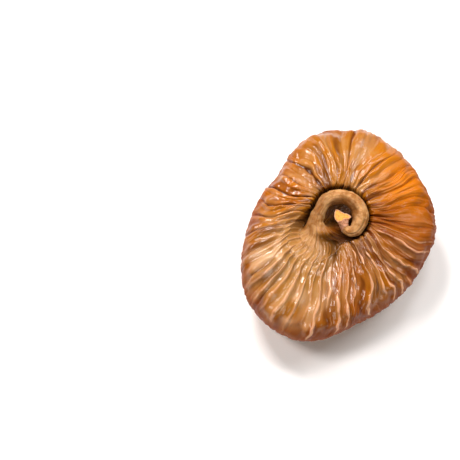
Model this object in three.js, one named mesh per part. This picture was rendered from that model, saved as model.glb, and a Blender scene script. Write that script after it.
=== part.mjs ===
// A dried fig as picked from the tray: a leathery fruit pressed flat from stalk to eye, with its neck
// curled over in the hollow of its upper face, and the cut stub of its stalk. It lies on its eye.
// Millimetres, +Z up, origin on the floor under the middle of the fruit.
import * as THREE from "three";

// Driving sizes. The rim's radii are 30 degrees apart, from +X on.
const RIM_RADII = [19.4, 21.7, 21.9, 23.8, 23.0, 18.3, 18.2, 20.2, 24.7, 25.2, 20.4, 18.9];
const RIM_MEAN = 21.4;
const FOLD_COUNT = 56; // creases that reach the rim
const FOLD_DEPTH = 1.15; // from the top of a fold to the bottom of its crease, where the folds are deepest
const AXIS = new THREE.Vector2(-0.83, 0.86); // the fruit's axis, from the middle of its box
const LEAN_POWER = 1.5; // how soon the line of growth leans over, from the crest to the neck

// The loft, from the stalk end of the neck to the eye. Each station is a ring round the fruit's line of
// growth: its centre, its radius, how far it follows the outline of the rim, and how deep its folds are.
// The rings round the root of the neck also reach out where the neck fans into the face.
const STATIONS = [
  { name: "neck end", at: [1.1, -0.45, 14.95], radius: 0.9, follow: 0, folds: 0.08 },
  { name: "last bend", at: [2.2, -0.85, 15.05], radius: 1.05, follow: 0, folds: 0.12 },
  { name: "lower bend", at: [3.2, -0.25, 15.3], radius: 1.3, follow: 0, folds: 0.15 },
  { name: "end of the curl", at: [3.6, 1.2, 15.6], radius: 1.5, follow: 0, folds: 0.18 },
  { name: "right of the curl", at: [3.4, 2.7, 15.85], radius: 1.7, follow: 0, folds: 0.18 },
  { name: "upper right", at: [2.55, 4.15, 16.15], radius: 1.65, follow: 0, folds: 0.18 },
  { name: "top right", at: [1.15, 5.1, 16.35], radius: 1.6, follow: 0, folds: 0.18 },
  { name: "top of the curl", at: [-0.5, 5.45, 16.4], radius: 1.5, follow: 0, folds: 0.18 },
  { name: "upper left", at: [-2.2, 5.1, 16.4], radius: 1.5, follow: 0, folds: 0.18 },
  { name: "top left", at: [-3.7, 4.3, 16.4], radius: 1.4, follow: 0, folds: 0.18 },
  { name: "left of the curl", at: [-4.7, 3.0, 16.2], radius: 1.35, follow: 0, folds: 0.2 },
  { name: "upper neck", at: [-4.9, 1.5, 15.8], radius: 1.2, follow: 0, folds: 0.24 },
  { name: "neck", at: [-5.1, 0, 15.3], radius: 1.35, follow: 0, folds: 0.28 },
  { name: "root of the neck", at: [-5, -1.4, 14.7], radius: 1.65, follow: 0, folds: 0.32 },
  { name: "fan", at: [-4.3, -2.2, 14.1], radius: 2.6, follow: 0, folds: 0.36 },
  { name: "hollow", at: [-2.95, -1, 12.9], radius: 3.85, follow: 0, folds: 0.45, fan: 0.65 },
  { name: "foot of the wall", at: [-0.7, 1.6, 12.9], radius: 5.45, follow: 0, folds: 0.55, fan: 0.95 },
  { name: "top of the wall", at: [-0.7, 1.85, 14.5], radius: 6.4, follow: 0.05, folds: 0.7, fan: 1 },
  { name: "crest", at: [-0.6, 1.6, 15.3], radius: 7.4, follow: 0.1, folds: 0.85, fan: 0.85 },
  { name: "inner face", at: [-0.4, 0.8, 15.4], radius: 11.0, follow: 0.4, folds: 0.9, fan: 0.3 },
  { name: "outer face", at: [0, 0.2, 14.8], radius: 15.6, follow: 0.75, folds: 0.85 },
  { name: "shoulder", at: [0, 0, 13.1], radius: 19.6, follow: 1, folds: 0.7 },
  { name: "upper rim", at: [0, 0, 10.5], radius: 21.2, follow: 1, folds: 0.45 },
  { name: "rim", at: [0, 0, 7.7], radius: 21.1, follow: 1, folds: 0.4 },
  { name: "lower rim", at: [0, 0, 4.8], radius: 19.8, follow: 1, folds: 0.42 },
  { name: "turn under", at: [0, 0, 2.3], radius: 17.2, follow: 1, folds: 0.45 },
  { name: "outer foot", at: [0, 0, 0.6], radius: 13.9, follow: 0.9, folds: 0.45 },
  { name: "foot", at: [0, 0, -0.4], radius: 10.8, follow: 0.7, folds: 0.4 },
  { name: "inner foot", at: [0, 0, -0.1], radius: 7.6, follow: 0.4, folds: 0.35 },
  { name: "brim of the eye", at: [0, 0, 0.4], radius: 5.0, follow: 0.2, folds: 0.3 },
  { name: "lip of the eye", at: [0, 0, 1.1], radius: 3.0, follow: 0, folds: 0.2 },
  { name: "floor of the eye", at: [0, 0, 2.0], radius: 1.6, follow: 0, folds: 0.1 },
];
const station = (name) => STATIONS.findIndex((s) => s.name === name);
const NECK_END = 0;
const ROOT = station("root of the neck");
const HOLLOW = station("hollow");
const WALL_TOP = station("top of the wall");
const CREST = station("crest");
const FACE = station("inner face");
const SHOULDER = station("shoulder");
const RIM = station("rim");
const FOOT = station("foot");
const EYE_FLOOR = station("floor of the eye");

// Broad swells and dents of the upper face: the direction and the station of each middle, its spread both
// ways, and its height. The slit and the crevice are the two edges of the fan.
const SWELLS = [
  { name: "valley", turn: 33, spread: 9, at: FACE + 0.4, reach: 1.7, height: -0.9 },
  { name: "swollen side", turn: 68, spread: 26, at: FACE + 1.2, reach: 1.6, height: 0.8 },
  { name: "slit", turn: 281, spread: 8, at: HOLLOW + 1.0, reach: 0.8, height: -1.3 },
  { name: "floor of the hollow", turn: 325, spread: 35, at: HOLLOW + 0.4, reach: 0.9, height: -0.7 },
  { name: "crevice", turn: 217, spread: 9, at: WALL_TOP + 0.7, reach: 1.8, height: -0.5 },
  { name: "dip", turn: 172, spread: 24, at: FACE + 1.0, reach: 1.3, height: -0.5 },
  { name: "foot of the fan", turn: 245, spread: 26, at: FACE + 0.8, reach: 1.2, height: 0.5 },
];
// Waves of the skin, for each: its height, how many run round the fruit, its rate along, and its start.
const ROLLING = [
  { height: 0.3, count: 5, rate: 0.9, start: 1.0 },
  { height: 0.25, count: 9, rate: -1.3, start: 2.2 },
  { height: 0.18, count: 14, rate: 1.6, start: 0.4 },
];
// How neighbouring creases stray together, in creases, and how the folds' depth comes and goes, as a share.
const STRAYS = [
  { height: 0.42, count: 3, rate: 0.9, start: 0 },
  { height: 0.25, count: -5, rate: 1.7, start: 2.0 },
  { height: 0.12, count: 9, rate: 2.6, start: 1.0 },
];
const COMES_AND_GOES = [
  { height: 0.4, count: 6, rate: 1.3, start: 1.0 },
  { height: 0.35, count: -11, rate: 2.3, start: 2.5 },
];
const LEAST_DEPTH = 0.15; // what is left of a fold where it has gone
const MOST_DEPTH = 1.25;

// Sides of the face: the direction of the middle of each, its spread, and what the skin does there.
const FAN = {
  turn: 249,
  leftSpread: 42,
  rightSpread: 29,
  edgePower: 3, // how sharply it ends at its edges
  fadesFrom: FACE + 0.5,
  fadesTo: FACE + 2.6,
  flatter: 0.2, // how much shallower its folds are
};
const RIDGED = { turn: 305, spread: 62, strength: 1.25 }; // thin ridges between broad valleys
// Broad pillows between narrow creases.
const PILLOWS = { turn: 158, spread: 62, uncut: 0.85, startsLater: 4.2 };
const CALM = { turn: 66, spread: 34, share: 0.55 }; // swollen, with its folds pulled smooth

// How the folds turn on their way up the neck, in degrees: all of them, and those that gather into the fan.
const NECK = { twist: 8, gather: 42, gatherTurn: 312, turnsFrom: HOLLOW + 1.3 };

const CREASES = {
  least: 0.3, // depth of the shallowest, as a share of the deepest
  swing: 0.3, // how much the depth swings along a crease
  swingRate: 1.4,
  starts: CREST - 0.6, // where those that don't reach the neck start
  startSpread: 1.6,
  growsOver: 1.6,
  inFan: 3.6, // how much further in they start in the fan
  endsFrom: FOOT - 0.5,
  endsTo: FOOT + 1,
  neckFrom: ROOT - 1, // where every fourth one starts, on the neck
  neckTo: ROOT + 2,
};
const WANDER = { uneven: 0.34, alone: 0.05, ownRate: 2.3, straightFan: 0.9 }; // of one crease, in creases

const FOLD = {
  sink: 0.5, // how far the creases lie below the loft, as a share of the fold's depth
  flatness: 3.5, // the power that rounds off a pillow's edges
  ridgeHalfWidth: 0.34, // as a share of half the fold
  ridgeDepth: 0.8, // from a ridge to the valleys beside it, as a share of the fold's depth
  leastTop: 0.75,
  topSpread: 0.5, // how much the tops differ in height
  ridgeSpread: 0.2, // how much more the ridges differ
  tilt: 0.7, // how much a pillow leans to one side
  ridgeSink: 0.4, // how much lower the ridges stand than the pillows
  secondRidgeSink: 0.45, // how much lower again every second ridge stands
  ridgeMost: 1.0, // the level that the ridges' tops are worn down to
  flatHollow: 0.7, // how much shallower the folds are in the hollow round the neck
};
// What is drawn by chance for each fold or crease.
const DRAWN = { place: 1, straying: 2, depth: 3, start: 4, swing: 5, top: 6, tilt: 7, rise: 9 };
const RIDGE_RISES = [
  { height: 0.32, rate: 1.3, start: 7, kind: DRAWN.top },
  { height: 0.12, rate: 3.7, start: 8, kind: DRAWN.rise },
];

// The stub of the stalk: a short stem with an oblique cut, drawn out to one side.
const STUB = {
  base: new THREE.Vector3(0.42, 0.15, 15.35),
  tip: new THREE.Vector3(-0.7, 1.35, 16.3), // the middle of the cut
  radius: 0.9, // at the base
  cutRadii: [1.35, 1.55, 1.2, 0.95, 1.05, 2.1, 1.1, 0.75, 0.95, 1.3, 1.15, 1.15], // 30 degrees apart
  flare: 1.5, // the power by which the base widens to the cut
  sides: 24,
  rings: 4,
  cutSlope: 0.95, // how much shorter the stub is on its upper side, for each millimetre of its width
  pith: 0.72, // the pith's share of the width, inside the bark
  dish: 0.25, // how deep the pith has shrunk below the bark
};

const POINTS_PER_FOLD = 4;
const NEARBY = 0.02; // of the way between two stations, to measure how the loft changes
const DEGREE = Math.PI / 180;
const UP = new THREE.Vector3(0, 0, 1);

const fraction = (x) => x - Math.floor(x);
// A seeded value from 0 to 1 for each crease and kind of draw.
const draw = (index, kind) => fraction(Math.sin(index * 12.9898 + kind * 78.233) * 43758.5453);
const smooth = (from, to, x) => THREE.MathUtils.smoothstep(x, from, to);
const wrapped = (index, count) => ((index % count) + count) % count;
const bell = (x) => Math.exp(-x * x);
const turnsApart = (turn, degrees) => wrapped(turn / DEGREE - degrees + 180, 360) - 180;
const zone = (turn, middle, spread) => bell(turnsApart(turn, middle) / spread);
const faceZone = (u) => smooth(WALL_TOP, FACE, u) * (1 - smooth(SHOULDER, RIM, u));

// The fan: 1 across its width, falling off towards both edges.
function fanZone(turn) {
  const apart = turnsApart(turn, FAN.turn);
  const spread = apart < 0 ? FAN.leftSpread : FAN.rightSpread;
  return Math.exp(-(Math.abs(apart / spread) ** FAN.edgePower));
}

// Uniform Catmull-Rom through four values.
function between(a, b, c, d, t) {
  const slopeIn = (c - a) / 2;
  const slopeOut = (d - b) / 2;
  const cubic = 2 * b - 2 * c + slopeIn + slopeOut;
  const square = 3 * c - 3 * b - 2 * slopeIn - slopeOut;
  return ((cubic * t + square) * t + slopeIn) * t + b;
}

function alongLoft(read, u) {
  const last = STATIONS.length - 1;
  const i = Math.min(Math.floor(u), last - 1);
  const value = (k) => read(STATIONS[THREE.MathUtils.clamp(k, 0, last)]);
  return between(value(i - 1), value(i), value(i + 1), value(i + 2), u - i);
}

// The radius at a direction, from radii spaced evenly round.
function through(radii, turn) {
  const place = wrapped(turn / (2 * Math.PI), 1) * radii.length;
  const i = Math.floor(place);
  const value = (k) => radii[wrapped(k, radii.length)];
  return between(value(i - 1), value(i), value(i + 1), value(i + 2), place - i);
}

const rimShape = (turn) => through(RIM_RADII, turn) / RIM_MEAN;
const centreAt = (u) => new THREE.Vector3(...[0, 1, 2].map((k) => alongLoft((s) => s.at[k], u)));

// The way the fruit grew at each ring: up through the body, over at the root, and then along the neck.
function growthAt(u) {
  const alongNeck = (v) => centreAt(v - NEARBY).sub(centreAt(v + NEARBY)).normalize();
  if (u <= ROOT) return alongNeck(Math.max(u, NEARBY));
  const lean = new THREE.Quaternion().setFromUnitVectors(UP, alongNeck(ROOT));
  const share = (1 - Math.min((u - ROOT) / (CREST - ROOT), 1)) ** LEAN_POWER;
  return UP.clone().applyQuaternion(new THREE.Quaternion().slerp(lean, share));
}

// Each ring's own axes, carried from the body up the neck without twist.
function ringAxes(places) {
  const axes = new Map();
  let growth = UP.clone();
  let across = new THREE.Vector3(1, 0, 0);
  let beyond = new THREE.Vector3(0, 1, 0);
  for (const u of [...places].sort((a, b) => b - a)) {
    const next = growthAt(u);
    const turn = new THREE.Quaternion().setFromUnitVectors(growth, next);
    across = across.clone().applyQuaternion(turn);
    beyond = beyond.clone().applyQuaternion(turn);
    growth = next;
    axes.set(u, { across, beyond, growth });
  }
  return axes;
}

// The sum of some waves at a direction and a place along the loft.
function waves(kinds, turn, u) {
  const heightOf = (wave) => wave.height * Math.sin(wave.count * turn + wave.rate * u + wave.start);
  return kinds.reduce((sum, wave) => sum + heightOf(wave), 0);
}

// Creases run from the neck to the eye. Every second one fades out on the inner face, except in the fan,
// and half of the rest on the neck. Few of the second ones cut the pillows.
function creaseStrength(index, u) {
  const { least, swing, swingRate, starts, startSpread, growsOver, inFan } = CREASES;
  const direction = (2 * Math.PI * index) / FOLD_COUNT;
  const own = least + (1 - least) * draw(index, DRAWN.depth);
  const depth = own * (1 + swing * Math.sin(swingRate * u + 2 * Math.PI * draw(index, DRAWN.swing)));
  const pillows = zone(direction, PILLOWS.turn, PILLOWS.spread);
  if (index % 2) {
    const start = starts + startSpread * draw(index, DRAWN.start) - inFan * fanZone(direction);
    const present = smooth(start, start + growsOver, u) * (1 - smooth(CREASES.endsFrom, CREASES.endsTo, u));
    return depth * present * (1 - PILLOWS.uncut * pillows);
  }
  if (index % 4) {
    const late = PILLOWS.startsLater * pillows;
    return depth * smooth(CREASES.neckFrom + late, CREASES.neckTo + late, u);
  }
  return depth;
}

// A place across the folds, counted in creases, to its direction round the fruit.
function turnOf(fold, u) {
  const creaseTurn = (index) => {
    const i = wrapped(index, FOLD_COUNT);
    const direction = (2 * Math.PI * i) / FOLD_COUNT;
    const uneven = (draw(i, DRAWN.place) - 0.5) * WANDER.uneven;
    const alone = WANDER.alone * Math.sin(WANDER.ownRate * u + 2 * Math.PI * draw(i, DRAWN.straying));
    const straying = smooth(ROOT, CREST, u) * (1 - WANDER.straightFan * fanZone(direction));
    return (index + uneven + (waves(STRAYS, direction, u) + alone) * straying) / FOLD_COUNT;
  };
  const i = Math.floor(fold);
  const turn = 2 * Math.PI * THREE.MathUtils.lerp(creaseTurn(i), creaseTurn(i + 1), fold - i);
  const gathered = NECK.twist + NECK.gather * Math.cos(turn - NECK.gatherTurn * DEGREE);
  return turn + gathered * (1 - smooth(ROOT, NECK.turnsFrom, u)) * DEGREE;
}

// The skin's height over the loft. A fold is a pillow with a flat top, or a thin ridge between broad valleys.
function foldHeight(fold, turn, u) {
  const i = wrapped(Math.floor(fold), FOLD_COUNT);
  const place = fraction(fold);
  const onFace = faceZone(u);
  const fan = fanZone(turn) * smooth(ROOT, HOLLOW, u) * (1 - smooth(FAN.fadesFrom, FAN.fadesTo, u));
  const sharp = Math.min(1, RIDGED.strength * zone(turn, RIDGED.turn, RIDGED.spread)) * onFace;
  const ridged = Math.max(sharp, fan);
  const offTop = Math.abs(place - 0.5) / 0.5;
  const pillow = 1 - offTop ** FOLD.flatness;
  const profile = THREE.MathUtils.lerp(pillow, bell(offTop / FOLD.ridgeHalfWidth), ridged);
  const next = wrapped(i + 1, FOLD_COUNT);
  const cut = THREE.MathUtils.lerp(creaseStrength(i, u), creaseStrength(next, u), place);
  const valley = 1 - cut * (1 - ridged) - FOLD.ridgeDepth * ridged;
  const riseOf = (rise) => rise.height * Math.sin(rise.rate * u + rise.start * draw(i, rise.kind));
  const ownTop = draw(i, DRAWN.top);
  const sunk = FOLD.ridgeSink - FOLD.ridgeSpread * ownTop + FOLD.secondRidgeSink * (i % 2);
  const rising = RIDGE_RISES.reduce((sum, rise) => sum + riseOf(rise), -sunk);
  const tilt = (1 - ridged) * onFace * FOLD.tilt * (draw(i, DRAWN.tilt) - 0.5) * (place - 0.5);
  const own = FOLD.leastTop + FOLD.topSpread * ownTop * onFace + ridged * (1 - fan) * rising + tilt;
  const worn = own - ridged * Math.max(0, own - FOLD.ridgeMost);
  const level = THREE.MathUtils.lerp(valley, worn, profile);
  const calm = CALM.share * zone(turn, CALM.turn, CALM.spread) * onFace;
  const swinging = 1 + waves(COMES_AND_GOES, turn, u) * onFace * (1 - fan);
  const comes = THREE.MathUtils.clamp(swinging, LEAST_DEPTH, MOST_DEPTH);
  const inHollow = smooth(ROOT - 1, ROOT + 1, u) * (1 - smooth(HOLLOW + 1, WALL_TOP, u));
  const flattened = FOLD.flatHollow * inHollow * (1 - fanZone(turn));
  const share = comes * (1 - calm) * (1 - FAN.flatter * fan) * (1 - flattened);
  return FOLD_DEPTH * alongLoft((s) => s.folds, u) * share * (level - FOLD.sink);
}

function swellHeight(turn, u) {
  const share = (swell) => zone(turn, swell.turn, swell.spread) * bell((u - swell.at) / swell.reach);
  const rolling = waves(ROLLING, turn, u) * faceZone(u);
  return SWELLS.reduce((sum, swell) => sum + swell.height * share(swell), rolling);
}

// The outward and upward parts of the skin's normal at a ring, from the loft's mean profile.
function slantAt(u) {
  if (u <= ROOT) return { out: 1, up: 0 };
  const change = (read) => alongLoft(read, u + NEARBY) - alongLoft(read, u - NEARBY);
  const profile = new THREE.Vector2(-change((s) => s.at[2]), change((s) => s.radius)).normalize();
  const mixed = new THREE.Vector2(1, 0).lerp(profile, smooth(ROOT, CREST, u)).normalize();
  return { out: mixed.x, up: mixed.y };
}

function skinPoint(fold, u, { across, beyond, growth }) {
  const turn = turnOf(fold, u);
  const follow = alongLoft((s) => s.follow, u);
  const fan = alongLoft((s) => s.fan ?? 0, u) * fanZone(turn);
  const radius = alongLoft((s) => s.radius, u) * (1 + follow * (rimShape(turn) - 1) + fan);
  const outward = across.clone().multiplyScalar(Math.cos(turn)).addScaledVector(beyond, Math.sin(turn));
  const slant = slantAt(u);
  const normal = outward.clone().multiplyScalar(slant.out).addScaledVector(growth, slant.up);
  const height = foldHeight(fold, turn, u) + swellHeight(turn, u);
  const point = centreAt(u).addScaledVector(outward, radius).addScaledVector(normal, height);
  point.z = Math.max(point.z, 0); // its own weight has pressed the underside flat
  return point;
}

// Rings of the loft, with fewer points where the fruit is slim. Each count is the same as its neighbour's,
// or half or twice it.
function ringPlan() {
  const full = FOLD_COUNT * POINTS_PER_FOLD;
  const spans = [
    { from: NECK_END, to: ROOT, step: 0.5, points: full / 8 },
    { from: ROOT + 0.4, to: ROOT + 2, step: 0.4, points: full / 4 },
    { from: ROOT + 2.4, to: CREST, step: 0.4, points: full / 2 },
    { from: CREST + 0.5, to: FOOT - 0.5, step: 0.6, points: full },
    { from: FOOT, to: FOOT + 1, step: 0.5, points: full / 2 },
    { from: FOOT + 1.5, to: EYE_FLOOR, step: 0.5, points: full / 4 },
  ];
  return spans.flatMap(({ from, to, step, points }) => {
    const rings = Math.max(1, Math.round((to - from) / step));
    return Array.from({ length: rings + 1 }, (_, k) => ({ u: from + ((to - from) * k) / rings, points }));
  });
}

// Faces between neighbouring rings of points, listed from the top of the loft down, and caps over both ends.
function closedLoft(rings, vertices) {
  const faces = [];
  const corner = (ring, k) => ring.first + wrapped(k, ring.points);
  rings.slice(1).forEach((below, r) => {
    const above = rings[r];
    const aboveIsSlim = above.points <= below.points;
    const [slim, wide] = aboveIsSlim ? [above, below] : [below, above];
    const steps = wide.points / slim.points;
    const addFace = (a, b, c) => faces.push(...(aboveIsSlim ? [a, b, c] : [a, c, b]));
    for (let k = 0; k < slim.points; k++) {
      addFace(corner(slim, k), corner(wide, steps * k), corner(wide, steps * k + 1));
      addFace(corner(slim, k), corner(wide, steps * k + 1), corner(slim, k + 1));
      if (steps === 2) addFace(corner(slim, k + 1), corner(wide, steps * k + 1), corner(wide, steps * k + 2));
    }
  });
  for (const [ring, facesUp] of [[rings[0], true], [rings.at(-1), false]]) {
    const edge = vertices.slice(ring.first, ring.first + ring.points);
    const middle = edge.reduce((sum, v) => sum.add(v), new THREE.Vector3()).divideScalar(ring.points);
    const tip = vertices.push(middle) - 1;
    for (let k = 0; k < ring.points; k++) {
      const edgeCorners = [corner(ring, k), corner(ring, k + 1)];
      faces.push(tip, ...(facesUp ? edgeCorners : edgeCorners.reverse()));
    }
  }
  const geometry = new THREE.BufferGeometry();
  const places = vertices.flatMap((v) => v.toArray());
  geometry.setAttribute("position", new THREE.Float32BufferAttribute(places, 3));
  geometry.setIndex(faces);
  geometry.computeVertexNormals();
  return geometry;
}

function fruitGeometry() {
  const rings = ringPlan();
  const axes = ringAxes(rings.map((ring) => ring.u));
  const vertices = [];
  for (const ring of rings) {
    ring.first = vertices.length;
    for (let k = 0; k < ring.points; k++) {
      vertices.push(skinPoint((k * FOLD_COUNT) / ring.points, ring.u, axes.get(ring.u)));
    }
  }
  return closedLoft(rings, vertices);
}

// From the pith in the middle of the cut, over the rim of the bark, and down the side to the base.
function stubGeometry() {
  const { base, tip, radius, cutRadii, flare, sides, rings: sideRings, cutSlope, pith, dish } = STUB;
  const length = base.distanceTo(tip);
  const along = tip.clone().sub(base).normalize();
  const sideways = new THREE.Vector3().crossVectors(UP, along).normalize();
  const upward = new THREE.Vector3().crossVectors(along, sideways);
  const vertices = [];
  const rings = [];
  const addRing = (share, size, sunk) => {
    rings.push({ first: vertices.length, points: sides });
    for (let k = 0; k < sides; k++) {
      const turn = (2 * Math.PI * k) / sides;
      const width = size * THREE.MathUtils.lerp(radius, through(cutRadii, turn), share ** flare);
      const height = width * Math.sin(turn);
      const reach = share * (length - cutSlope * height) - sunk;
      const point = base.clone().addScaledVector(along, reach);
      point.addScaledVector(sideways, width * Math.cos(turn)).addScaledVector(upward, height);
      vertices.push(point);
    }
  };
  addRing(1, pith / 2, dish);
  addRing(1, pith, dish);
  for (let k = sideRings; k >= 0; k--) addRing(k / sideRings, 1, 0);
  return closedLoft(rings, vertices);
}

const skin = new THREE.MeshStandardMaterial({ color: 0xb9772f, roughness: 0.35, metalness: 0 });
const wood = new THREE.MeshStandardMaterial({ color: 0xdcae5c, roughness: 0.8, metalness: 0 });

function piece(name, geometry, material) {
  const mesh = new THREE.Mesh(geometry, material);
  mesh.name = name;
  mesh.position.set(AXIS.x, AXIS.y, 0);
  return mesh;
}

const fig = new THREE.Group();
fig.add(piece("fruit", fruitGeometry(), skin));
fig.add(piece("stalk", stubGeometry(), wood));

export default fig;
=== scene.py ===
"""A dried fig, pressed flat from stalk to eye, lying on a pale floor: its folded amber skin, its dry curled
neck and the cut stub of its stalk. The skin is the CAD model's own loft, with finer relief on it."""

import math
from types import SimpleNamespace

import bpy
import numpy as np
from mathutils import Matrix, Quaternion, Vector


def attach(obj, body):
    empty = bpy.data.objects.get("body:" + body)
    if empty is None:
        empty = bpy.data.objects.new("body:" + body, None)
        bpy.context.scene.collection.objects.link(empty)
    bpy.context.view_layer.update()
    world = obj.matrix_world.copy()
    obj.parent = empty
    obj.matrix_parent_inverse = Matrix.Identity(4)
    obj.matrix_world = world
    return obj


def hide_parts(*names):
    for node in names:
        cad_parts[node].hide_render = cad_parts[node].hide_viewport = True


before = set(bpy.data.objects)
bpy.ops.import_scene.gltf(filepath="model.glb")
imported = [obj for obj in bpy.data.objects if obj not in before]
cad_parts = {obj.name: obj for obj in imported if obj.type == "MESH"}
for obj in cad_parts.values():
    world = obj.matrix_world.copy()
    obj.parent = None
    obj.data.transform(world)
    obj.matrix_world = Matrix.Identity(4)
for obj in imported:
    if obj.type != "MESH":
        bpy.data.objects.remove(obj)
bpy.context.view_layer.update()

MM = 0.001

# Driving sizes of the fruit, in millimetres, as in the CAD model. The rim's radii are 30 degrees apart, from
# +X on.
RIM_RADII = (19.4, 21.7, 21.9, 23.8, 23.0, 18.3, 18.2, 20.2, 24.7, 25.2, 20.4, 18.9)
RIM_MEAN = 21.4
FOLD_COUNT = 56  # creases that reach the rim
FOLD_DEPTH = 1.15  # from the top of a fold to the bottom of its crease, where the folds are deepest
AXIS = (-0.83, 0.86, 0.0)  # the fruit's axis, from the middle of its box
LEAN_POWER = 1.5  # how soon the line of growth leans over, from the crest to the neck

# The loft, from the stalk end of the neck to the eye. Each station is a ring round the fruit's line of
# growth: its centre, its radius, how far it follows the outline of the rim, how deep its folds are, and how
# far it reaches out where the neck fans into the face.
STATIONS = {
    "neck end": (1.1, -0.45, 14.95, 0.9, 0, 0.08, 0),
    "last bend": (2.2, -0.85, 15.05, 1.05, 0, 0.12, 0),
    "lower bend": (3.2, -0.25, 15.3, 1.3, 0, 0.15, 0),
    "end of the curl": (3.6, 1.2, 15.6, 1.5, 0, 0.18, 0),
    "right of the curl": (3.4, 2.7, 15.85, 1.7, 0, 0.18, 0),
    "upper right": (2.55, 4.15, 16.15, 1.65, 0, 0.18, 0),
    "top right": (1.15, 5.1, 16.35, 1.6, 0, 0.18, 0),
    "top of the curl": (-0.5, 5.45, 16.4, 1.5, 0, 0.18, 0),
    "upper left": (-2.2, 5.1, 16.4, 1.5, 0, 0.18, 0),
    "top left": (-3.7, 4.3, 16.4, 1.4, 0, 0.18, 0),
    "left of the curl": (-4.7, 3.0, 16.2, 1.35, 0, 0.2, 0),
    "upper neck": (-4.9, 1.5, 15.8, 1.2, 0, 0.24, 0),
    "neck": (-5.1, 0.0, 15.3, 1.35, 0, 0.28, 0),
    "root of the neck": (-5, -1.4, 14.7, 1.65, 0, 0.32, 0),
    "fan": (-4.3, -2.2, 14.1, 2.6, 0, 0.36, 0),
    "hollow": (-2.95, -1, 12.9, 3.85, 0, 0.45, 0.65),
    "foot of the wall": (-0.7, 1.6, 12.9, 5.45, 0, 0.55, 0.95),
    "top of the wall": (-0.7, 1.85, 14.5, 6.4, 0.05, 0.7, 1),
    "crest": (-0.6, 1.6, 15.3, 7.4, 0.1, 0.85, 0.85),
    "inner face": (-0.4, 0.8, 15.4, 11.0, 0.4, 0.9, 0.3),
    "outer face": (0, 0.2, 14.8, 15.6, 0.75, 0.85, 0),
    "shoulder": (0, 0, 13.1, 19.6, 1, 0.7, 0),
    "upper rim": (0, 0, 10.5, 21.2, 1, 0.45, 0),
    "rim": (0, 0, 7.7, 21.1, 1, 0.4, 0),
    "lower rim": (0, 0, 4.8, 19.8, 1, 0.42, 0),
    "turn under": (0, 0, 2.3, 17.2, 1, 0.45, 0),
    "outer foot": (0, 0, 0.6, 13.9, 0.9, 0.45, 0),
    "foot": (0, 0, -0.4, 10.8, 0.7, 0.4, 0),
    "inner foot": (0, 0, -0.1, 7.6, 0.4, 0.35, 0),
    "brim of the eye": (0, 0, 0.4, 5.0, 0.2, 0.3, 0),
    "lip of the eye": (0, 0, 1.1, 3.0, 0, 0.2, 0),
    "floor of the eye": (0, 0, 2.0, 1.6, 0, 0.1, 0),
}
TABLE = np.array(list(STATIONS.values()), float)
NAMES = list(STATIONS)
NECK_END = 0
ROOT = NAMES.index("root of the neck")
HOLLOW = NAMES.index("hollow")
WALL_TOP = NAMES.index("top of the wall")
CREST = NAMES.index("crest")
FACE = NAMES.index("inner face")
SHOULDER = NAMES.index("shoulder")
RIM = NAMES.index("rim")
FOOT = NAMES.index("foot")
BRIM = NAMES.index("brim of the eye")
EYE_FLOOR = NAMES.index("floor of the eye")

# Broad swells and dents of the upper face: the direction of each in degrees, its spread, its station, its
# reach along the loft, and its height.
SWELLS = (
    (33, 9, FACE + 0.4, 1.7, -0.9),
    (68, 26, FACE + 1.2, 1.6, 0.8),
    (281, 8, HOLLOW + 1.0, 0.8, -1.3),
    (325, 35, HOLLOW + 0.4, 0.9, -0.7),
    (217, 9, WALL_TOP + 0.7, 1.8, -0.5),
    (172, 24, FACE + 1.0, 1.3, -0.5),
    (245, 26, FACE + 0.8, 1.2, 0.5),
)
# Waves of the face: the height of each, its waves round, its rate along the loft, and its start.
ROLLING = ((0.3, 5, 0.9, 1.0), (0.25, 9, -1.3, 2.2), (0.18, 14, 1.6, 0.4))
# Waves of the skin that are too short for the CAD model, as above.
SHORT_WAVES = ((0.08, 22, -5.2, 3.0), (0.07, 29, 6.3, 5.1), (0.05, 37, -4.4, 1.7))
# How the creases stray together: how far, in creases, the waves round, the rate along, and the start.
STRAYS = ((0.42, 3, 0.9, 0.0), (0.25, -5, 1.7, 2.0), (0.12, 9, 2.6, 1.0))
# How the folds' depth comes and goes: by what share, the waves round, the rate along, and the start.
COMES_AND_GOES = ((0.4, 6, 1.3, 1.0), (0.35, -11, 2.3, 2.5))
LEAST_DEPTH = 0.15  # what is left of a fold where it has gone
MOST_DEPTH = 1.25

# Sides of the face: the direction of the middle of each, its spread, and what the skin does there.
FAN = SimpleNamespace(
    turn=249,
    left_spread=42,
    right_spread=29,
    edge_power=3,  # how sharply it ends at its edges
    fades_from=FACE + 0.5,
    fades_to=FACE + 2.6,
    flatter=0.2,  # how much shallower its folds are
    smoother=0.8,  # how much less its ridges bend and its skin crumples
)
RIDGED = SimpleNamespace(turn=305, spread=62, strength=1.25)  # thin ridges between broad valleys
PILLOWS = SimpleNamespace(  # broad pillows between narrow creases
    turn=158,
    spread=62,
    uncut=0.85,  # how much shallower every second crease is
    starts_later=4.2,
    smoother=0.65,  # how much shallower its fine furrows are
)
CALM = SimpleNamespace(turn=66, spread=34, share=0.55)  # swollen, with its folds pulled smooth

# How the folds turn on their way up the neck, in degrees: all of them, and those that gather into the fan.
NECK = SimpleNamespace(twist=8, gather=42, gather_turn=312, turns_from=HOLLOW + 1.3)

CREASES = SimpleNamespace(
    least=0.3,  # depth of the shallowest, as a share of the deepest
    swing=0.3,  # how much the depth swings along a crease
    swing_rate=1.4,
    starts=CREST - 0.6,  # where those that don't reach the neck start
    start_spread=1.6,
    grows_over=1.6,
    in_fan=3.6,  # how much further in they start in the fan
    ends_from=FOOT - 0.5,
    ends_to=FOOT + 1,
    neck_from=ROOT - 1,  # where every fourth one starts, on the neck
    neck_to=ROOT + 2,
)
WANDER = SimpleNamespace(uneven=0.34, alone=0.05, own_rate=2.3, straight_fan=0.9)  # of one crease, in creases

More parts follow.
